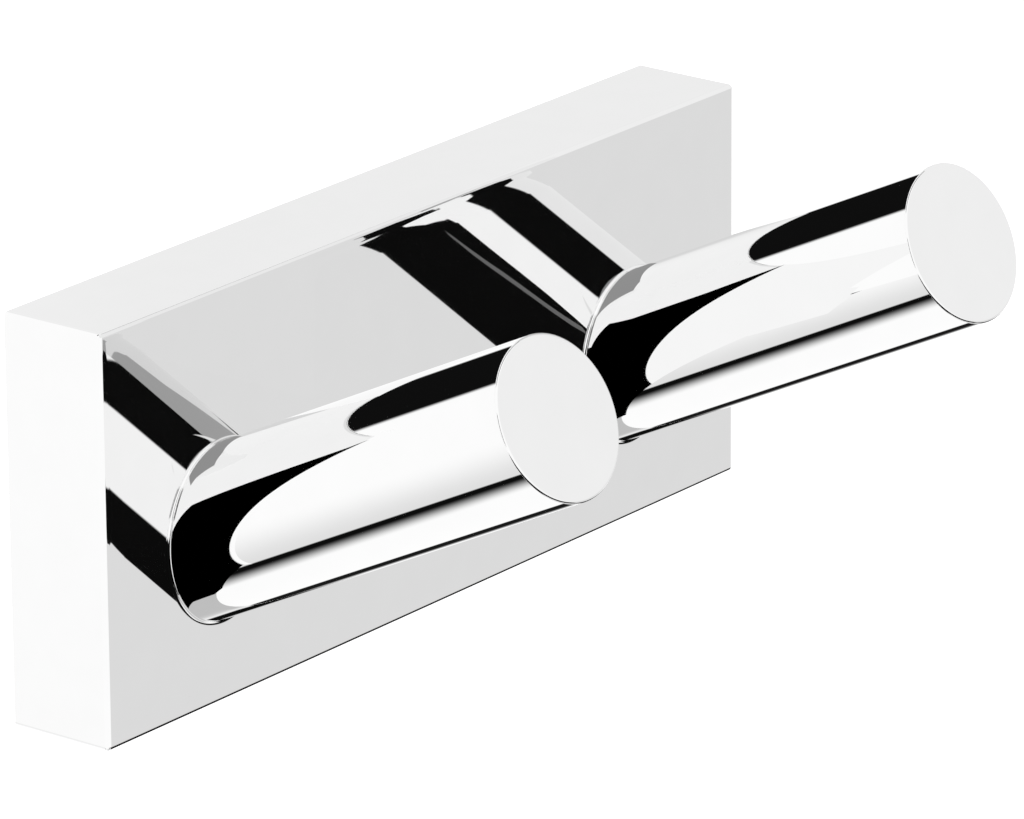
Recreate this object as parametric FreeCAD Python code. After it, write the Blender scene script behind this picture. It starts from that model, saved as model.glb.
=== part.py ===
import FreeCAD, Part
import math
import os

from FreeCAD import Vector

# A double robe hook: a hollow, box-shaped cover plate carries two round pegs that tilt upwards.
# A folded bracket is screwed to the wall, the cover slips over it, and two grub screws lock it.
# Millimetres. X runs along the plate, +Y goes into the wall and +Z is up.
# The origin is the centre of the plate's back, on the wall.

# Cover plate
plate_width = 120.0
plate_height = 50.0
plate_depth = 14.0
plate_edge_radius = 0.6
front_wall = 3.0
side_wall = 3.0
cavity_corner_radius = 2.0
cavity_floor_bevel = 1.0
boss_radius = 11.0
boss_height = 1.5

# Pegs
peg_radius = 9.75
peg_length = 54.0
peg_tilt = 26.0
peg_inset = 21.0
peg_root_height = -4.2
peg_end_bevel = 0.3
peg_root_bevel = 0.25

# Screw, washers and pin that hold each peg
screw_radius = 2.5
screw_length = 16.0
screw_rise = 2.5
screw_head_radius = 4.25
screw_head_height = 3.5
screw_key_width = 3.0
screw_key_depth = 2.0
screw_bevel = 0.4
screw_hole_clearance = 0.25
thread_clearance = 0.05
thread_run_out = 3.0
washer_radius = 5.0
washer_hole_clearance = 0.15
washer_thickness = 1.0
lock_washer_radius = 4.6
lock_washer_hole_clearance = 0.05
lock_washer_thickness = 1.2
lock_washer_split = 0.8
lock_washer_slant = 20.0
pin_radius = 1.5
pin_length = 8.0
pin_depth_in_peg = 5.0
pin_drop = 5.0
pin_end_bevel = 0.3
pin_clearance = 0.05

# Wall bracket
sheet_thickness = 1.5
bend_radius = 1.0
bracket_end_gap = 7.0
bracket_front_gap = 2.0
bracket_bottom_gap = 0.5
flange_corner_radius = 2.0
slot_spacing = 50.0
slot_width = 5.5
slot_length = 10.0

# Grub screws that lock the cover to the bracket
grub_inset = 30.0
grub_radius = 2.0
grub_recess = 0.5
grub_seat_radius = 1.0
grub_key_width = 2.0
grub_key_depth = 1.5

# Places worked out from the sizes above
plate_front = -plate_depth
cavity_floor = plate_front + front_wall
cavity_top = plate_height / 2 - side_wall
cavity_end = plate_width / 2 - side_wall
peg_place = plate_width / 2 - peg_inset
boss_face = cavity_floor + boss_height
screw_seat = boss_face + washer_thickness + lock_washer_thickness
screw_height = peg_root_height + screw_rise
pin_height = peg_root_height - pin_drop
bracket_top = cavity_top
bracket_bottom = bracket_bottom_gap - cavity_top
bracket_front = cavity_floor + bracket_front_gap
bracket_end = cavity_end - bracket_end_gap
grub_place = plate_width / 2 - grub_inset
flange_middle = (bracket_front - sheet_thickness - bend_radius) / 2
sides = {"left": -1, "right": 1}
same_place = 1e-4

to_wall = Vector(0, 1, 0)
from_wall = Vector(0, -1, 0)
up = Vector(0, 0, 1)


def box_between(low, high):
    """A box from its lowest corner to its highest."""
    size = high - low
    return Part.makeBox(size.x, size.y, size.z, low)


def hexagon_prism(centre, direction, width_across_flats, depth):
    """A hexagonal key pocket that runs from centre along direction."""
    corner = width_across_flats / math.sqrt(3)
    points = []
    for step in range(7):
        turn = math.radians(60 * step)
        points.append(Vector(corner * math.cos(turn), corner * math.sin(turn), 0))
    prism = Part.Face(Part.makePolygon(points)).extrude(Vector(0, 0, depth))
    prism.Placement = FreeCAD.Placement(centre, FreeCAD.Rotation(up, direction))
    return prism


def edges_at_y(shape, y):
    """The edges of a shape that lie wholly in the plane at y."""
    return [edge for edge in shape.Edges
            if abs(edge.BoundBox.YMin - y) < same_place and abs(edge.BoundBox.YMax - y) < same_place]


def edges_along(shape, axis):
    """The straight edges of a shape that run along an axis."""
    found = []
    for edge in shape.Edges:
        if isinstance(edge.Curve, Part.Line) and abs(edge.Curve.Direction.dot(axis)) > 0.999:
            found.append(edge)
    return found


def make_cover_plate():
    """A cast cover: softly broken outer edges, open behind, with a boss for each peg's screw."""
    half_width = plate_width / 2
    half_height = plate_height / 2
    outside = box_between(Vector(-half_width, plate_front, -half_height),
                          Vector(half_width, 0, half_height))
    rim = edges_at_y(outside, plate_front) + edges_along(outside, to_wall)
    outside = outside.makeFillet(plate_edge_radius, rim)

    cavity = box_between(Vector(-cavity_end, cavity_floor, -cavity_top),
                         Vector(cavity_end, 0, cavity_top))
    cavity = cavity.makeFillet(cavity_corner_radius, edges_along(cavity, to_wall))
    cavity = cavity.makeChamfer(cavity_floor_bevel, edges_at_y(cavity, cavity_floor))
    cover = outside.cut(cavity)

    for side in sides.values():
        x = side * peg_place
        root = Vector(x, cavity_floor, peg_root_height)
        cover = cover.fuse(Part.makeCylinder(boss_radius, boss_height, root, to_wall))
        through = front_wall + boss_height
        screw_start = Vector(x, plate_front, screw_height)
        cover = cover.cut(Part.makeCylinder(screw_radius + screw_hole_clearance, through,
                                            screw_start, to_wall))
        pin_start = Vector(x, plate_front, pin_height)
        cover = cover.cut(Part.makeCylinder(pin_radius + pin_clearance, through, pin_start, to_wall))
        grub_start = Vector(side * grub_place, flange_middle, -half_height)
        cover = cover.cut(Part.makeCylinder(grub_radius + thread_clearance, side_wall, grub_start, up))
    return cover.removeSplitter()


def make_peg(side):
    """Round bar, square at its free end and mitred at its root, drilled for its screw and pin."""
    tilt = math.radians(peg_tilt)
    axis = Vector(0, -math.cos(tilt), math.sin(tilt))
    x = side * peg_place
    root = Vector(x, plate_front, peg_root_height)
    behind = peg_radius * math.tan(tilt) + peg_radius
    bar = Part.makeCylinder(peg_radius, peg_length + behind, root - axis * behind, axis)
    reach = 2 * (behind + peg_radius)
    waste = box_between(root - Vector(reach, 0, reach), root + Vector(reach, reach, reach))
    peg = bar.cut(waste)

    end_centre = root + axis * peg_length
    end_edge = [edge for edge in peg.Edges
                if isinstance(edge.Curve, Part.Circle) and edge.Curve.Center.isEqual(end_centre, 1e-3)]
    peg = peg.makeChamfer(peg_end_bevel, end_edge)
    peg = peg.makeChamfer(peg_root_bevel, edges_at_y(peg, plate_front))

    grip = screw_length - (screw_seat - plate_front)
    screw_start = Vector(x, plate_front, screw_height)
    thread = Part.makeCylinder(screw_radius + thread_clearance, grip + thread_run_out,
                               screw_start, from_wall)
    pin_start = Vector(x, plate_front, pin_height)
    pin_hole = Part.makeCylinder(pin_radius + pin_clearance, pin_depth_in_peg + pin_clearance,
                                 pin_start, from_wall)
    return peg.cut(thread).cut(pin_hole)


def make_peg_screw(side):
    """Low-head cap screw with a hexagonal key, its head towards the wall."""
    head = Part.makeCylinder(screw_head_radius, screw_head_height)
    crown = [edge for edge in head.Edges if edge.BoundBox.ZMin > screw_head_height - same_place]
    head = head.makeChamfer(screw_bevel, crown)
    shank = Part.makeCylinder(screw_radius, screw_length, Vector(0, 0, 0), Vector(0, 0, -1))
    tip = [edge for edge in shank.Edges if edge.BoundBox.ZMax < same_place - screw_length]
    shank = shank.makeChamfer(screw_bevel, tip)
    key = hexagon_prism(Vector(0, 0, screw_head_height), Vector(0, 0, -1),
                        screw_key_width, screw_key_depth)
    screw = head.fuse(shank).cut(key).removeSplitter()
    seat = Vector(side * peg_place, screw_seat, screw_height)
    screw.Placement = FreeCAD.Placement(seat, FreeCAD.Rotation(up, to_wall))
    return screw


def make_ring(start, outer_radius, hole_radius, thickness):
    """A flat ring that starts at a point and grows towards the wall."""
    disc = Part.makeCylinder(outer_radius, thickness, start, to_wall)
    return disc.cut(Part.makeCylinder(hole_radius, thickness, start, to_wall))


def make_plain_washer(side):
    """Flat washer on the cover's boss."""
    start = Vector(side * peg_place, boss_face, screw_height)
    hole_radius = screw_radius + washer_hole_clearance
    return make_ring(start, washer_radius, hole_radius, washer_thickness)


def make_lock_washer(side):
    """Split spring washer, pressed flat between the plain washer and the screw's head."""
    start = Vector(side * peg_place, boss_face + washer_thickness, screw_height)
    hole_radius = screw_radius + lock_washer_hole_clearance
    ring = make_ring(start, lock_washer_radius, hole_radius, lock_washer_thickness)
    reach = 2 * lock_washer_thickness
    split = box_between(Vector(-lock_washer_split / 2, -reach, 0),
                        Vector(lock_washer_split / 2, reach, 2 * lock_washer_radius))
    middle = start + to_wall * (lock_washer_thickness / 2)
    split.Placement = FreeCAD.Placement(middle, FreeCAD.Rotation(up, lock_washer_slant))
    return ring.cut(split)


def make_locating_pin(side):
    """Dowel pin, half in the peg and half in the cover's front wall."""
    start = Vector(side * peg_place, plate_front - pin_depth_in_peg, pin_height)
    pin = Part.makeCylinder(pin_radius, pin_length, start, to_wall)
    rims = [edge for edge in pin.Edges if isinstance(edge.Curve, Part.Circle)]
    return pin.makeChamfer(pin_end_bevel, rims)


def channel_outline():
    """The folded sheet seen along X: two flanges joined by the web against the wall."""
    outer = bend_radius + sheet_thickness
    middle_of_arc = math.sqrt(0.5)
    top_bend = Vector(0, -outer, bracket_top - outer)
    bottom_bend = Vector(0, -outer, bracket_bottom + outer)
    toward_top = Vector(0, middle_of_arc, middle_of_arc)
    toward_bottom = Vector(0, middle_of_arc, -middle_of_arc)
    thickness_up = up * sheet_thickness

    top_tip = Vector(0, bracket_front, bracket_top)
    bottom_tip = Vector(0, bracket_front, bracket_bottom)
    return Part.Wire([
        Part.makeLine(top_tip, top_bend + up * outer),
        Part.Arc(top_bend + up * outer, top_bend + toward_top * outer,
                 top_bend + to_wall * outer).toShape(),
        Part.makeLine(top_bend + to_wall * outer, bottom_bend + to_wall * outer),
        Part.Arc(bottom_bend + to_wall * outer, bottom_bend + toward_bottom * outer,
                 bottom_bend - up * outer).toShape(),
        Part.makeLine(bottom_bend - up * outer, bottom_tip),
        Part.makeLine(bottom_tip, bottom_tip + thickness_up),
        Part.makeLine(bottom_tip + thickness_up, bottom_bend - up * bend_radius),
        Part.Arc(bottom_bend - up * bend_radius, bottom_bend + toward_bottom * bend_radius,
                 bottom_bend + to_wall * bend_radius).toShape(),
        Part.makeLine(bottom_bend + to_wall * bend_radius, top_bend + to_wall * bend_radius),
        Part.Arc(top_bend + to_wall * bend_radius, top_bend + toward_top * bend_radius,
                 top_bend + up * bend_radius).toShape(),
        Part.makeLine(top_bend + up * bend_radius, top_tip - thickness_up),
        Part.makeLine(top_tip - thickness_up, top_tip),
    ])


def slot_through_web(x):
    """A level slot for a wall screw, long enough to shift the bracket sideways."""
    radius = slot_width / 2
    half_run = slot_length / 2 - radius
    slot = box_between(Vector(x - half_run, -sheet_thickness, -radius),
                       Vector(x + half_run, 0, radius))
    for end in (-half_run, half_run):
        start = Vector(x + end, -sheet_thickness, 0)
        slot = slot.fuse(Part.makeCylinder(radius, sheet_thickness, start, to_wall))
    return slot


def make_wall_bracket():
    """Sheet folded to a channel, with two slots in its web and a seat hole for each grub screw."""
    channel = Part.Face(channel_outline()).extrude(Vector(2 * bracket_end, 0, 0))
    channel.translate(Vector(-bracket_end, 0, 0))
    corners = [edge for edge in edges_along(channel, up)
               if abs(edge.BoundBox.YMax - bracket_front) < same_place]
    channel = channel.makeFillet(flange_corner_radius, corners)
    for side in sides.values():
        channel = channel.cut(slot_through_web(side * slot_spacing / 2))
        seat = Vector(side * grub_place, flange_middle, bracket_bottom)
        channel = channel.cut(Part.makeCylinder(grub_seat_radius, sheet_thickness, seat, up))
    return channel.removeSplitter()


def make_grub_screw(side):
    """Socket set screw whose cone enters the bracket's seat hole from below."""
    tip_height = bracket_bottom + grub_seat_radius - thread_clearance
    foot_height = grub_recess - plate_height / 2
    body_height = tip_height - grub_radius - foot_height
    foot = Vector(side * grub_place, flange_middle, foot_height)
    body = Part.makeCylinder(grub_radius, body_height, foot, up)
    cone = Part.makeCone(grub_radius, 0, grub_radius, foot + up * body_height, up)
    key = hexagon_prism(foot, up, grub_key_width, grub_key_depth)
    return body.fuse(cone).cut(key).removeSplitter()


nodes = {
    "cover_plate": make_cover_plate(),
    "wall_bracket": make_wall_bracket(),
}
for name, side in sides.items():
    nodes[name + "_peg"] = make_peg(side)
    nodes[name + "_peg_screw"] = make_peg_screw(side)
    nodes[name + "_plain_washer"] = make_plain_washer(side)
    nodes[name + "_lock_washer"] = make_lock_washer(side)
    nodes[name + "_locating_pin"] = make_locating_pin(side)
    nodes[name + "_grub_screw"] = make_grub_screw(side)

os.makedirs("parts", exist_ok=True)
for name, shape in nodes.items():
    shape.exportStep("parts/" + name + ".step")
    box = shape.BoundBox
    print("%s: %s, %d solid, %.1f mm3, x %.2f..%.2f y %.2f..%.2f z %.2f..%.2f" % (
        name, "valid" if shape.isValid() else "NOT VALID", len(shape.Solids), shape.Volume,
        box.XMin, box.XMax, box.YMin, box.YMax, box.ZMin, box.ZMax))
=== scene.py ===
import math

import bmesh
import bpy
from mathutils import Matrix, Vector


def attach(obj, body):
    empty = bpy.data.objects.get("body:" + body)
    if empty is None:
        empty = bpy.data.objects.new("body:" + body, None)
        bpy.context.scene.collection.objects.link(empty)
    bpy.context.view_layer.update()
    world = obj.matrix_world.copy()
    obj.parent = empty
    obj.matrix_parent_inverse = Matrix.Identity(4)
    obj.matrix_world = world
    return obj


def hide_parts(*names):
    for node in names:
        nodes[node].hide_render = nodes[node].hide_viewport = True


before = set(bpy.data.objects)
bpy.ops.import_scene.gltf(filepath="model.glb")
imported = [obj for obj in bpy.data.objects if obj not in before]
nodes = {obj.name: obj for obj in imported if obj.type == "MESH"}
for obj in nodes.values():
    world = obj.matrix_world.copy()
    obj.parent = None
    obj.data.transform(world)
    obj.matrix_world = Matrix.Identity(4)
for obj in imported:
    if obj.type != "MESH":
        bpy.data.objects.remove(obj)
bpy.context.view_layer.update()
mm = 0.001


# Wall bracket: a stainless-sheet channel that is screwed to the wall and carries the cover.
# Cold-rolled, cut and folded, and left in its mill finish, so it is dull silver with fine lines
# along the rolling direction and faint clouds from pickling.

def linear(hex_colour):
    """An sRGB hex colour as a linear colour with full opacity."""
    parts = [int(hex_colour[i:i + 2], 16) / 255 for i in (1, 3, 5)]
    return [p / 12.92 if p <= 0.04045 else ((p + 0.055) / 1.055) ** 2.4 for p in parts] + [1.0]


def add(tree, kind, sockets=None, **settings):
    """Adds a node, with its settings, and gives each socket a value or a link."""
    node = tree.nodes.new("ShaderNode" + kind)
    for name, value in settings.items():
        setattr(node, name, value)
    for name, value in (sockets or {}).items():
        if isinstance(value, bpy.types.NodeSocket):
            tree.links.new(value, node.inputs[name])
        else:
            node.inputs[name].default_value = value
    return node


def new_metal(name):
    """A material with one fully metallic shader, and the place of each point on the object."""
    material = bpy.data.materials.new(name)
    material.use_nodes = True
    tree = material.node_tree
    shader = tree.nodes["Principled BSDF"]
    shader.inputs["Metallic"].default_value = 1.0
    place = add(tree, "TexCoord").outputs["Object"]
    return material, tree, shader, place


def finish_metal(tree, shader, colour, roughness, height, relief):
    """Links a metal's colour and roughness, and a height whose full range is relief in metres."""
    bump = add(tree, "Bump", {"Height": height, "Distance": relief, "Strength": 1.0})
    tree.links.new(colour, shader.inputs["Base Color"])
    tree.links.new(roughness, shader.inputs["Roughness"])
    tree.links.new(bump.outputs["Normal"], shader.inputs["Normal"])


def mill_finish_stainless_sheet():
    """Rolling lines 0.35 mm apart, drawn coarser than real so that they show, and 70 times as
    long as that; pickling clouds of about 7 mm."""
    material, tree, shader, place = new_metal("mill finish stainless sheet")
    stretch = 70
    along = add(tree, "Mapping", {"Vector": place, "Scale": (1 / stretch, 1, 1)})
    lines = add(tree, "TexNoise", {"Vector": along.outputs[0], "Scale": 1 / (0.35 * mm),
                                   "Detail": 3.0, "Roughness": 0.6})
    clouds = add(tree, "TexNoise", {"Vector": place, "Scale": 1 / (7 * mm), "Detail": 3.0})
    tone = add(tree, "ValToRGB", {"Fac": clouds.outputs["Fac"]})
    tone.color_ramp.elements[0].position = 0.3
    tone.color_ramp.elements[0].color = linear("#B0AEAA")
    tone.color_ramp.elements[1].position = 0.7
    tone.color_ramp.elements[1].color = linear("#C3C1BE")
    roughness = add(tree, "MapRange", {"Value": lines.outputs["Fac"],
                                       "To Min": 0.24, "To Max": 0.42})
    finish_metal(tree, shader, tone.outputs["Color"], roughness.outputs[0],
                 lines.outputs["Fac"], 0.004 * mm)
    return material


def dress(names, material):
    """Gives CAD nodes a better material in their own slots."""
    for name in names:
        for slot in nodes[name].material_slots:
            slot.material = material


dress(["wall_bracket"], mill_finish_stainless_sheet())


# Screws and plain washers that hold the pegs: cold-headed steel, zinc plated and passivated.
# The head is turned, so rings run round its axis, and the coat shifts from blue to straw.

peg_place = 39 * mm
screw_height = -1.7 * mm


def centred_on_axis(tree, place, side_distance, height):
    """The distance from the level axis at plus or minus side_distance."""
    parts = add(tree, "SeparateXYZ", {"Vector": place})
    sideways = add(tree, "Math", {0: parts.outputs["X"]}, operation="ABSOLUTE")
    across = add(tree, "Math", {0: sideways.outputs[0], 1: side_distance}, operation="SUBTRACT")
    upward = add(tree, "Math", {0: parts.outputs["Z"], 1: height}, operation="SUBTRACT")
    flat = add(tree, "CombineXYZ", {"X": across.outputs[0], "Y": upward.outputs[0]})
    return add(tree, "VectorMath", {0: flat.outputs[0]}, operation="LENGTH").outputs["Value"]


def passivated_zinc():
    """Turning rings 0.25 mm apart, drawn coarser than real so that they show; colour that
    drifts over 3 mm."""
    material, tree, shader, place = new_metal("passivated zinc plating")
    radius = centred_on_axis(tree, place, peg_place, screw_height)
    rings = add(tree, "Math", {0: radius, 1: 2 * math.pi / (0.25 * mm)}, operation="MULTIPLY")
    wave = add(tree, "Math", {0: rings.outputs[0]}, operation="SINE")
    drift = add(tree, "TexNoise", {"Vector": place, "Scale": 1 / (3.0 * mm), "Detail": 2.0})
    coat = add(tree, "ValToRGB", {"Fac": drift.outputs["Fac"]})
    coat.color_ramp.elements[0].position = 0.35
    coat.color_ramp.elements[0].color = linear("#BCC4CE")
    coat.color_ramp.elements[1].position = 0.65
    coat.color_ramp.elements[1].color = linear("#D2CDB8")
    roughness = add(tree, "MapRange", {"Value": drift.outputs["Fac"],
                                       "To Min": 0.2, "To Max": 0.34})
    finish_metal(tree, shader, coat.outputs["Color"], roughness.outputs[0],
                 wave.outputs[0], 0.0015 * mm)
    return material


sides = {"left": -1, "right": 1}
dress([side + part for side in sides for part in ("_peg_screw", "_plain_washer")],
      passivated_zinc())


# Split lock washers: hardened spring steel, blued by its heat treatment and lightly oiled,
# so it is dark with brown-blue clouds and a soft sheen.

def blued_spring_steel():
    """Temper colours that drift over 2.5 mm; a tumbled grain of 0.3 mm, coarser than real."""
    material, tree, shader, place = new_metal("blued spring steel")
    clouds = add(tree, "TexNoise", {"Vector": place, "Scale": 1 / (2.5 * mm), "Detail": 3.0})
    grain = add(tree, "TexNoise", {"Vector": place, "Scale": 1 / (0.3 * mm), "Detail": 2.0})
    temper = add(tree, "ValToRGB", {"Fac": clouds.outputs["Fac"]})
    temper.color_ramp.elements[0].position = 0.35
    temper.color_ramp.elements[0].color = linear("#41444C")
    temper.color_ramp.elements[1].position = 0.68
    temper.color_ramp.elements[1].color = linear("#5E5549")
    roughness = add(tree, "MapRange", {"Value": grain.outputs["Fac"],
                                       "To Min": 0.34, "To Max": 0.5})
    finish_metal(tree, shader, temper.outputs["Color"], roughness.outputs[0],
                 grain.outputs["Fac"], 0.006 * mm)
    return material


dress([side + "_lock_washer" for side in sides], blued_spring_steel())


# Locating pins and grub screws: stainless steel, centreless ground or turned from bar,
# so they are clean and bright with a fine ground grain.

def ground_stainless():
    """Grinding marks 0.2 mm apart, drawn coarser than real, and tone that shifts over 1.5 mm."""
    material, tree, shader, place = new_metal("ground stainless steel")
    lines = add(tree, "TexNoise", {"Vector": place, "Scale": 1 / (0.2 * mm), "Detail": 4.0})
    patches = add(tree, "TexNoise", {"Vector": place, "Scale": 1 / (1.5 * mm), "Detail": 2.0})
    tone = add(tree, "ValToRGB", {"Fac": patches.outputs["Fac"]})
    tone.color_ramp.elements[0].color = linear("#BDBBB7")
    tone.color_ramp.elements[1].color = linear("#D0CECA")
    roughness = add(tree, "MapRange", {"Value": lines.outputs["Fac"],
                                       "To Min": 0.16, "To Max": 0.3})
    finish_metal(tree, shader, tone.outputs["Color"], roughness.outputs[0],
                 lines.outputs["Fac"], 0.002 * mm)
    return material


dress([side + part for side in sides for part in ("_locating_pin", "_grub_screw")],
      ground_stainless())


# Pegs: solid brass bar, mitred at the root, faced and crowned at the free end, polished and
# chrome plated. A screw and a pin from behind the plate hold each one, so its root is drilled.

peg_radius = 9.75 * mm
peg_length = 54 * mm
peg_tilt = math.radians(26)     # up from level
peg_height = -4.2 * mm
plate_front = -14 * mm
peg_root = Vector((peg_place, plate_front, peg_height))
peg_facets = 288
hole_facets = 48
cut_overlap = 1 * mm            # how far a cutter reaches past the face it opens
smooth_below = math.radians(24)
in_plane = 0.001 * mm           # a point this near to a plane lies in it
square_on = 0.999               # two directions with a larger cosine count as the same
end_round = 0.3 * mm
root_cove = 0.4 * mm
cove_steps = 6
crown_rise = 0.1 * mm
crown_rings = 12
screw_bore = 2.55 * mm
screw_bore_depth = 9.7 * mm
pin_bore = 1.55 * mm
pin_bore_depth = 5.05 * mm
pin_height = -9.2 * mm


def polished_chrome():
    """Buffed mirror chrome: waves 14 mm long that only just bend a reflection, and a haze that
    comes and goes over 5 mm where the buffing wheel passed."""
    material, tree, shader, place = new_metal("polished chrome plating")
    waves = add(tree, "TexNoise", {"Vector": place, "Scale": 1 / (14 * mm), "Detail": 1.0})
    haze = add(tree, "TexNoise", {"Vector": place, "Scale": 1 / (5 * mm), "Detail": 3.0})
    tone = add(tree, "ValToRGB", {"Fac": haze.outputs["Fac"]})
    tone.color_ramp.elements[0].color = linear("#F2F2F2")
    tone.color_ramp.elements[1].color = linear("#F5F5F5")
    roughness = add(tree, "MapRange", {"Value": haze.outputs["Fac"],
                                       "To Min": 0.012, "To Max": 0.035})
    finish_metal(tree, shader, tone.outputs["Color"], roughness.outputs[0],
                 waves.outputs["Fac"], 0.002 * mm)
    return material


chrome = polished_chrome()


def combined(first, second, operation):
    """The bmesh that a boolean of two bmeshes leaves; both are used up."""
    made = []
    for work in (first, second):
        mesh = bpy.data.meshes.new("work")
        work.to_mesh(mesh)
        work.free()
        made.append(bpy.data.objects.new("work", mesh))
        bpy.context.scene.collection.objects.link(made[-1])
    boolean = made[0].modifiers.new("boolean", "BOOLEAN")
    boolean.operation = operation
    boolean.solver = "EXACT"
    boolean.object = made[1]
    result = bmesh.new()
    result.from_object(made[0], bpy.context.evaluated_depsgraph_get())
    for thing in made:
        bpy.data.meshes.remove(thing.data)
    return result


def rod(radius, start, direction, length, facets):
    """A closed round rod from a point along a direction."""
    work = bmesh.new()
    turn = direction.to_track_quat("Z", "Y").to_matrix().to_4x4()
    bmesh.ops.create_cone(work, cap_ends=True, segments=facets, radius1=radius, radius2=radius,
                          depth=length,
                          matrix=Matrix.Translation(start + direction * length / 2) @ turn)
    return work


def finished_piece(name, work, materials, replaced):
    """Makes the piece's object, smooth except at sharp edges, and puts it on the frame."""
    for face in work.faces:
        face.smooth = True
    for edge in work.edges:
        edge.smooth = len(edge.link_faces) == 2 and edge.calc_face_angle() < smooth_below
    mesh = bpy.data.meshes.new(name)
    work.to_mesh(mesh)
    work.free()
    for material in materials:
        mesh.materials.append(material)
    piece = bpy.data.objects.new(name, mesh)
    bpy.context.scene.collection.objects.link(piece)
    weighted = piece.modifiers.new("flat faces kept flat", "WEIGHTED_NORMAL")
    weighted.keep_sharp = True
    weighted.weight = 50   # large faces count most, so flats stay flat beside rounded edges
    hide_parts(replaced)
    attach(piece, "root")


def edges_in_plane(work, point, normal):
    """The edges whose two ends both lie in a plane."""
    return [edge for edge in work.edges
            if all(abs((vert.co - point).dot(normal)) < in_plane for vert in edge.verts)]


def peg_mesh():
    """The right peg as a closed mesh."""
    axis = Vector((0, -math.cos(peg_tilt), math.sin(peg_tilt)))
    behind = peg_radius * math.tan(peg_tilt) + peg_radius
    work = rod(peg_radius, peg_root - axis * behind, axis, peg_length + behind, peg_facets)
    wall_side = Vector((0, 1, 0))
    bmesh.ops.bisect_plane(work, geom=work.verts[:] + work.edges[:] + work.faces[:],
                           plane_co=peg_root, plane_no=wall_side, clear_outer=True)
    bmesh.ops.holes_fill(work, edges=[edge for edge in work.edges if edge.is_boundary])
    coves = [math.radians(90 * step / cove_steps) for step in range(1, cove_steps + 1)]
    for angle in coves:
        height = root_cove * (1 - math.cos(angle))
        bmesh.ops.bisect_plane(work, geom=work.verts[:] + work.edges[:] + work.faces[:],
                               plane_co=peg_root - wall_side * height, plane_no=wall_side)
    for vert in work.verts:
        height = (peg_root - vert.co).dot(wall_side)
        if height < root_cove - in_plane:
            spoke = vert.co - peg_root
            spoke -= axis * spoke.dot(axis)
            spoke.y = 0
            flare = root_cove - math.sqrt(root_cove ** 2 - (root_cove - max(height, 0)) ** 2)
            vert.co += spoke.normalized() * flare
    tip = peg_root + axis * peg_length
    bmesh.ops.bevel(work, geom=edges_in_plane(work, tip, axis), offset=end_round,
                    offset_type="OFFSET", affect="EDGES", segments=6, profile=0.5, material=-1)
    end_face = max((face for face in work.faces if face.normal.dot(axis) > square_on),
                   key=lambda face: face.calc_area())
    flat_radius = peg_radius - end_round
    for _ in range(crown_rings - 1):
        bmesh.ops.inset_region(work, faces=[end_face], thickness=flat_radius / crown_rings)
    for vert in work.verts:
        along = (vert.co - tip).dot(axis)
        if along > -end_round:
            out = min((vert.co - tip - axis * along).length / flat_radius, 1.0)
            vert.co -= axis * crown_rise * out ** 2
    for bore, depth, height in ((screw_bore, screw_bore_depth, screw_height),
                                (pin_bore, pin_bore_depth, pin_height)):
        start = Vector((peg_place, plate_front + cut_overlap, height))
        drill = rod(bore, start, Vector((0, -1, 0)), depth + cut_overlap, hole_facets)
        work = combined(work, drill, "DIFFERENCE")
    return work


for side, sign in sides.items():
    work = peg_mesh()
    bmesh.ops.translate(work, verts=work.verts, vec=((sign - 1) * peg_place, 0, 0))
    finished_piece(side + "_polished_peg", work, [chrome], side + "_peg")


# Cover plate: a zinc casting, open behind, that slips over the bracket. Its front is buffed,
# which rolls the surface off gently before the soft edges. Outside it is chrome plated to a
# mirror; inside the plating is thin and dull over the cast skin.

plate_half = Vector((60 * mm, 7 * mm, 25 * mm))
edge_round = 0.6 * mm
roll_off_width = 4.2 * mm
roll_off_drop = 0.036 * mm
roll_off_rings = 24
roll_off_reach = 1.2            # times the width, where the drop stops growing
wall = 3 * mm
cavity_floor = plate_front + wall
cavity_corner = 2 * mm
cavity_bevel = 1 * mm
boss_radius = 11 * mm
boss_height = 1.5 * mm
boss_sunk = 0.5 * mm
boss_facets = 96
screw_hole = 2.75 * mm
grub_place = 30 * mm
grub_depth = -5.75 * mm
grub_hole = 2.05 * mm
skin = 1 * mm                   # deeper than this is the cavity, with its dull plating
rim_skin = 0.01 * mm            # the rim on the wall is polished like the outside


def thin_plating_over_casting():
    """A satin skin: cast grain of 0.5 mm under dull nickel and chrome, stained over 9 mm."""
    material, tree, shader, place = new_metal("thin plating over cast zinc")
    grain = add(tree, "TexNoise", {"Vector": place, "Scale": 1 / (0.5 * mm), "Detail": 4.0})
    stain = add(tree, "TexNoise", {"Vector": place, "Scale": 1 / (9 * mm), "Detail": 3.0})
    tone = add(tree, "ValToRGB", {"Fac": stain.outputs["Fac"]})
    tone.color_ramp.elements[0].color = linear("#A5A39C")
    tone.color_ramp.elements[1].color = linear("#BDBCB8")
    roughness = add(tree, "MapRange", {"Value": grain.outputs["Fac"],
                                       "To Min": 0.34, "To Max": 0.52})
    finish_metal(tree, shader, tone.outputs["Color"], roughness.outputs[0],
                 grain.outputs["Fac"], 0.02 * mm)
    return material


def block(low, high):
    """A closed box between two corners."""
    work = bmesh.new()
    size = high - low
    bmesh.ops.create_cube(work, size=1.0,
                          matrix=Matrix.Translation((low + high) / 2)
                          @ Matrix.Diagonal((size.x, size.y, size.z, 1)))
    return work


def edges_along_y(work):
    """The straight edges that run to the wall."""
    return [edge for edge in work.edges
            if abs((edge.verts[1].co - edge.verts[0].co).normalized().y) > square_on]


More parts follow.
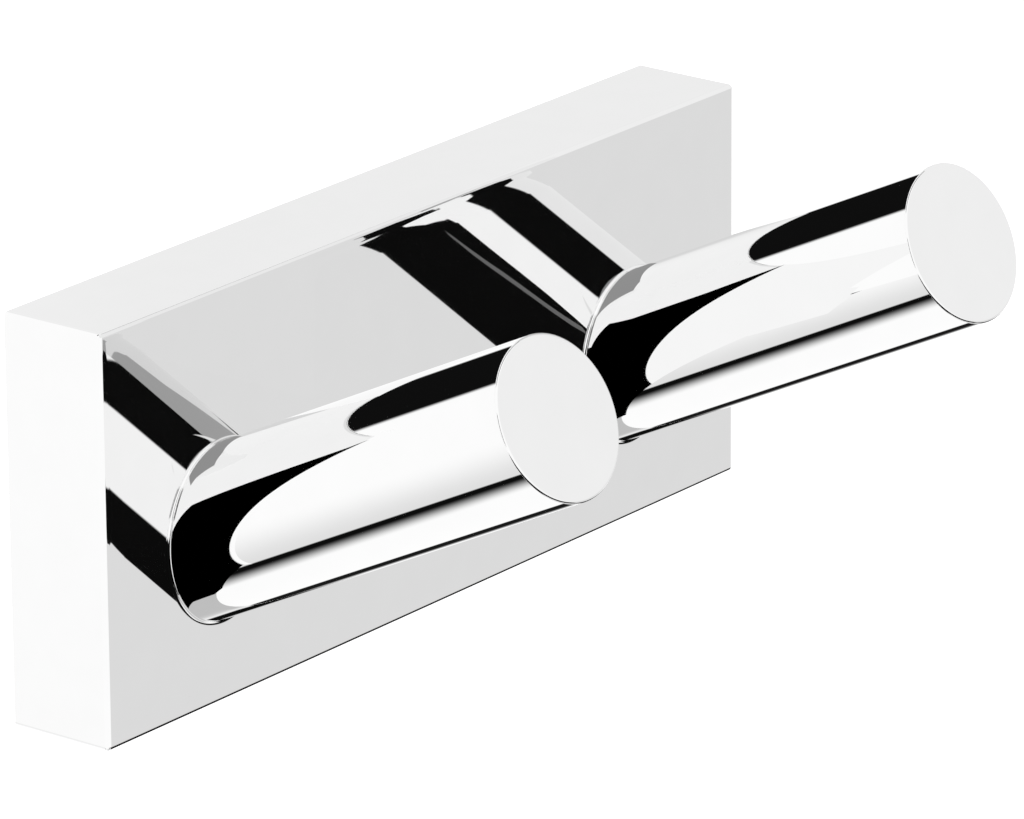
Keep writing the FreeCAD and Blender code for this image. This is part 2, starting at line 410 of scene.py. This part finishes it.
to_wall = Vector((0, 1, 0))
up = Vector((0, 0, 1))
front_point = Vector((0, plate_front, 0))
work = block(Vector((-plate_half.x, plate_front, -plate_half.z)),
             Vector((plate_half.x, 0, plate_half.z)))
rim = edges_along_y(work) + edges_in_plane(work, front_point, to_wall)
bmesh.ops.bevel(work, geom=rim, offset=edge_round, offset_type="OFFSET", affect="EDGES",
                segments=8, profile=0.5, material=-1)
front_face = max((face for face in work.faces if face.normal.y < -square_on),
                 key=lambda face: face.calc_area())
for _ in range(roll_off_rings):
    bmesh.ops.inset_region(work, faces=[front_face], thickness=roll_off_width / roll_off_rings)
flat_x = plate_half.x - edge_round - roll_off_width
flat_z = plate_half.z - edge_round - roll_off_width
for vert in work.verts:
    if vert.co.y < plate_front + 2 * edge_round:
        beyond = Vector((max(abs(vert.co.x) - flat_x, 0), max(abs(vert.co.z) - flat_z, 0)))
        vert.co.y += roll_off_drop * min(beyond.length / roll_off_width, roll_off_reach) ** 3

hollow = block(Vector((wall - plate_half.x, cavity_floor, wall - plate_half.z)),
               Vector((plate_half.x - wall, cut_overlap, plate_half.z - wall)))
bmesh.ops.bevel(hollow, geom=edges_along_y(hollow), offset=cavity_corner, offset_type="OFFSET",
                affect="EDGES", segments=10, profile=0.5, material=-1)
floor_rim = edges_in_plane(hollow, Vector((0, cavity_floor, 0)), to_wall)
bmesh.ops.bevel(hollow, geom=floor_rim, offset=cavity_bevel, offset_type="OFFSET",
                affect="EDGES", segments=5, profile=0.5, material=-1)
work = combined(work, hollow, "DIFFERENCE")
for sign in sides.values():
    x = sign * peg_place
    boss = rod(boss_radius, Vector((x, cavity_floor - boss_sunk, peg_height)), to_wall,
               boss_height + boss_sunk, boss_facets)
    work = combined(work, boss, "UNION")
    through = wall + boss_height + 2 * cut_overlap
    for radius, height in ((screw_hole, screw_height), (pin_bore, pin_height)):
        drill = rod(radius, Vector((x, plate_front - cut_overlap, height)), to_wall, through,
                    hole_facets)
        work = combined(work, drill, "DIFFERENCE")
    below = Vector((sign * grub_place, grub_depth, -plate_half.z - cut_overlap))
    drill = rod(grub_hole, below, up, wall + 2 * cut_overlap, hole_facets)
    work = combined(work, drill, "DIFFERENCE")

for face in work.faces:
    middle = face.calc_center_median()
    inside = (abs(middle.x) < plate_half.x - skin and abs(middle.z) < plate_half.z - skin
              and plate_front + skin < middle.y < -rim_skin)
    face.material_index = 1 if inside else 0
finished_piece("polished_cover", work, [chrome, thin_plating_over_casting()],
               "cover_plate")


# Floor: a matt pale card far below the hook, so that its shadow hardly shows. The camera sees
# it lifted to the white of the backdrop, and the chrome doesn't mirror it.

floor_height = -2.4
floor_half = 12.0
lift_level = 0.45
floor_mesh = bpy.data.meshes.new("floor")
work = bmesh.new()
bmesh.ops.create_grid(work, x_segments=1, y_segments=1, size=floor_half,
                      matrix=Matrix.Translation((0, 0, floor_height)))
work.to_mesh(floor_mesh)
work.free()
floor = bpy.data.objects.new("floor", floor_mesh)
bpy.context.scene.collection.objects.link(floor)
pale = bpy.data.materials.new("matt pale card")
pale.use_nodes = True
tree = pale.node_tree
tree.nodes.clear()
card = add(tree, "BsdfDiffuse", {"Color": linear("#F2F2F2")})
lift = add(tree, "Emission", {"Color": linear("#FFFFFF"), "Strength": lift_level})
ray = add(tree, "LightPath")
lifted = add(tree, "AddShader", {0: card.outputs[0], 1: lift.outputs[0]})
seen = add(tree, "MixShader", {0: ray.outputs["Is Camera Ray"], 1: card.outputs[0],
                               2: lifted.outputs[0]})
add(tree, "OutputMaterial", {"Surface": seen.outputs[0]})
floor_mesh.materials.append(pale)
floor.visible_glossy = False


# Studio: soft white all round, with the grey and black cards that make chrome read. They are
# drawn in the world by direction: azimuth from straight out of the wall (+ to the right),
# elevation, half sizes, level, and how soft the left, right, lower and upper edges are.

white_level = 1.08
black_level = 0.004
cards = [
    (-127, -46, 16, 10, 0.82, (10, 10, 4, 40)),          # pale grey, low behind on the left
    (80, 20, 40, 34, 0.95, (14, 10, 10, 10)),            # dull white, all the front right
    (116, 22, 16, 16, 0.92, (10, 6, 10, 10)),            # duller white that the top face sees
    (-4, -34, 43, 21, black_level, (3, 3, 3, 3)),        # black, low in front
    (70, -41, 38, 9, black_level, (3, 14, 3, 8)),        # black, low on the right
    (-42, -60, 14, 10, black_level, (3, 3, 3, 3)),       # black, lower left
    (-58, -29, 12, 22, black_level, (3, 3, 3, 3)),       # black, low on the left
    (51, -14, 10, 17, 0.78, (6, 6, 4, 14)),              # grey that the plate's front sees
    (57, 14, 9, 9, 0.95, (8, 8, 8, 8)),                  # dull white that the pegs' ends see
    (164, 24, 25, 18, 0.005, (2, 4, 3, 3)),              # black, high behind
    (-130, -61, 8, 5.5, black_level, (3, 3, 14, 1.5)),   # black, very low behind on the left
    (123, -42, 9, 8, 0.01, (3, 3, 2, 12)),               # black, low behind on the right
    (0, -76, 30, 12, 0.62, (10, 10, 10, 10)),            # grey, under the hook
    (-53, 26, 8, 16, 0.05, (3, 3, 3, 3)),                # dark, around the camera
    (95, 80, 8, 30, black_level, (2, 2, 3, 3)),          # black strip, overhead from right to left
]


def toward(azimuth, elevation):
    """The direction of an azimuth and an elevation in degrees."""
    azimuth, elevation = math.radians(azimuth), math.radians(elevation)
    return Vector((math.sin(azimuth) * math.cos(elevation),
                   -math.cos(azimuth) * math.cos(elevation), math.sin(elevation)))


world = bpy.data.worlds.new("studio")
bpy.context.scene.world = world
world.use_nodes = True
world.cycles.sampling_method = "NONE"   # the chrome finds the cards by its own reflections
tree = world.node_tree
tree.nodes.clear()
view = add(tree, "TexCoord").outputs["Generated"]
level = add(tree, "Value").outputs[0]
level.default_value = white_level
for azimuth, elevation, half_width, half_height, grey, soft in cards:
    middle = toward(azimuth, elevation)
    across = middle.cross(up).normalized()
    if across.dot(toward(azimuth + 1, elevation)) < 0:
        across.negate()
    upright = across.cross(middle).normalized()
    if upright.z < 0:
        upright.negate()
    ahead = add(tree, "VectorMath", {0: view, 1: middle}, operation="DOT_PRODUCT").outputs["Value"]
    cover = add(tree, "Math", {0: ahead, 1: 0.0}, operation="GREATER_THAN").outputs[0]
    for direction, half, low_soft, high_soft in ((across, half_width, soft[0], soft[1]),
                                                 (upright, half_height, soft[2], soft[3])):
        part = add(tree, "VectorMath", {0: view, 1: direction}, operation="DOT_PRODUCT")
        turn = add(tree, "Math", {0: part.outputs["Value"], 1: ahead}, operation="ARCTAN2")
        angle = add(tree, "Math", {0: turn.outputs[0]}, operation="DEGREES").outputs[0]
        for edge, softness, sense in ((-half, low_soft, 1), (half, high_soft, -1)):
            step = add(tree, "MapRange", {"Value": angle, "From Min": edge - sense * softness / 2,
                                          "From Max": edge + sense * softness / 2},
                       interpolation_type="SMOOTHSTEP")
            cover = add(tree, "Math", {0: cover, 1: step.outputs[0]},
                        operation="MULTIPLY").outputs[0]
    level = add(tree, "Mix", {"Factor": cover, "A": level, "B": grey}).outputs[0]
ray = add(tree, "LightPath")
shown = add(tree, "Mix", {"Factor": ray.outputs["Is Camera Ray"], "A": level, "B": 1.0})
light = add(tree, "Background", {"Color": linear("#FFFFFF"), "Strength": shown.outputs[0]})
add(tree, "OutputWorld", {"Surface": light.outputs[0]})


# Close cards: painted reflections. Small cards just before the plate, unseen by the camera, glow
# or stay black so that each peg mirrors a dark root (painted shade) and a clean white window
# instead of the other peg, and the plate's edges mirror painted highlights. Each stands upright
# through a place (x, y) in mm and faces an azimuth, with a level and corners (along, height).
# Only its face shows, and only in reflections.

foot = -14.4                    # 0.4 mm before the plate's front, in mm
root_shade = [(-2.5, -17), (0, -17), (0, 2), (-0.5, -1), (-1.2, -5), (-2, -10), (-2.5, -14)]
band_edge = [(25.6, 17), (25.6, 48), (27.6, 54), (29.6, 60), (30.6, 72), (29.6, 84), (27.6, 112)]
# Black cards paint shade at the roots and beside the pegs; grey and white ones paint reflections
# and highlights that only the chrome mirrors.
painted_reflection_cards = [
    ("left root", (0, foot), 0, 0.0,
     [(-60, 23.5), (-59.2, 21), (-49, 2.5), (-48.2, -4), (-45.5, -10.5), (-46.8, -14),
      (-48, -22.5), (-50, -25), (-60, -25)]),
    ("right root", (0, foot), 0, 0.0,
     [(15.7, 25), (16.6, 23.5), (21, 15), (27, 6), (29.3, 3.5), (29.3, -4), (31, -12), (33, -15),
      (31, -20), (30, -25), (15.7, -25)]),
    ("between the pegs", (0, foot), 0, 1.02,
     [(-28.5, -14), (-18, -19), (-10, -25), (15.7, -25), (15.7, 25), (-28.5, 25)]),
    ("low between the pegs", (-9, foot), 90, 1.02,
     [(-12.5, -26), (0, -26), (0, -12), (-6, -6), (-12.5, -3), (-14.5, -4), (-14.5, -14)]),
    ("outside the left root", (-50.4, foot), 90, 0.0, root_shade),
    ("outside the right root", (27.6, foot), 90, 0.0, root_shade),
    ("above the left root", (0, foot), 0, 0.3,
     [(-45.8, 5), (-44.5, 7.5), (-42, 8.3), (-37, 8.3), (-37, 6), (-46.5, 4)]),
    ("above the right root", (0, foot), 0, 0.3,
     [(32.2, 5), (33.5, 8.5), (35.5, 9.3), (42, 8.8), (42, 6), (31, 2)]),
    ("beside the left root", (-27.5, foot), 90, white_level,
     [(-16, -20), (0, -20), (0, 12), (-11.6, 12)]),
    ("beside the left peg", (-27.5, foot), 90, black_level,
     [(-35.6, 48), (-29.6, 46), (-25.6, 44.5), (-21.6, 43.5), (-17.6, 42), (-13.6, 38),
      (-11.1, 34), (-11.6, 28), (-13.6, 20), (-16.1, 8), (-17.1, -4), (-18.6, -12), (-80, -12),
      (-80, 2), (-61, 7), (-57.5, 11), (-54, 15), (-51, 18.5), (-48.1, 22), (-45.8, 26),
      (-43.6, 30), (-41.6, 34), (-39.6, 38), (-37.6, 42)]),
    ("strip beside the left peg", (-27.4, foot), 90, 0.15,
     [(-41.6, 24), (-37.6, 24.2), (-33.6, 25), (-29.6, 26.6), (-25.6, 27.4), (-21.6, 28),
      (-17.6, 29.5), (-13.6, 32.5), (-13.6, 28), (-17.6, 24.5), (-21.6, 22.8), (-25.6, 22.2),
      (-29.6, 21.4), (-33.6, 20.4), (-37.6, 20), (-41.6, 22)]),
    ("beside the right peg", (27.5, foot), -90, 0.4,
     band_edge + [(3.6, 112), (3.6, 30), (15.6, 26), (21.6, 19)]),
    ("far beside the right peg", (27.5, foot), -90, 0.785,
     band_edge + [(75, 112), (75, -15), (40, -15), (39.5, 5), (25.6, 13), (18, 17), (18, 22.5),
                  (21.6, 19)]),
    ("over the top left edge", (-59, foot), -90, 0.95,
     [(-15.5, 25.15), (0, 25.15), (0, 26.8), (-15.5, 26.8)]),
    ("left of the left edge", (-60.5, -14.5), 125, white_level,
     [(-0.9, -27), (0.9, -27), (0.9, 27), (-0.9, 27)]),
    ("before the left edge", (-59.75, -17), 180, white_level,
     [(-3.25, -27), (3.25, -27), (3.25, 27), (-3.25, 27)]),
    ("before the top edge", (0, -16.4), 180, 0.9,
     [(-27.5, 25.2), (60, 25.2), (60, 40), (-27.5, 40)]),
]

for name, (x, y), facing, painted_reflection_level, corners in painted_reflection_cards:
    front = toward(facing, 0)
    along = Vector((-front.y, front.x, 0))
    work = bmesh.new()
    face = work.faces.new([work.verts.new(Vector((x, y, 0)) * mm + along * across * mm
                                          + up * height * mm) for across, height in corners])
    work.normal_update()
    if face.normal.dot(front) < 0:
        face.normal_flip()
    mesh = bpy.data.meshes.new("card " + name)
    work.to_mesh(mesh)
    work.free()
    thing = bpy.data.objects.new("card " + name, mesh)
    bpy.context.scene.collection.objects.link(thing)
    coat = bpy.data.materials.new("card " + name)
    coat.use_nodes = True
    tree = coat.node_tree
    tree.nodes.clear()
    # The card's glow is a painted reflection, not a lamp: at 0 it paints shade, and higher it
    # paints a highlight.
    painted_reflection_glow = add(tree, "Emission", {"Color": linear("#FFFFFF"), "Strength": painted_reflection_level})
    clear = add(tree, "BsdfTransparent")
    back = add(tree, "NewGeometry").outputs["Backfacing"]
    mixed = add(tree, "MixShader", {0: back, 1: painted_reflection_glow.outputs[0], 2: clear.outputs[0]})
    add(tree, "OutputMaterial", {"Surface": mixed.outputs[0]})
    coat.cycles.emission_sampling = "NONE"   # a card is only mirrored, so it isn't a lamp
    mesh.materials.append(coat)
    thing.visible_camera = False
    thing.visible_diffuse = False
    thing.visible_shadow = False


# Camera: a long lens from the left and above, a metre away, where the plate's corners and the
# pegs' ends fall as near as they can to where the photograph has them.

camera_place = Vector((-0.74678, -0.60439, 0.32897))
camera_forward = Vector((0.74701, 0.57881, -0.32704))
camera_right = Vector((0.61072, -0.79182, -0.00642))
camera_data = bpy.data.cameras.new("camera")
camera_data.sensor_fit = "HORIZONTAL"
camera_data.sensor_width = 36.0
camera_data.lens = 300.56
camera_data.clip_end = 50.0
camera = bpy.data.objects.new("camera", camera_data)
bpy.context.scene.collection.objects.link(camera)
camera_up = camera_right.cross(camera_forward).normalized()
turn = Matrix((camera_right, camera_up, -camera_forward)).transposed()
camera.matrix_world = Matrix.Translation(camera_place) @ turn.to_4x4()
bpy.context.scene.camera = camera
bpy.context.scene.view_settings.view_transform = "Standard"
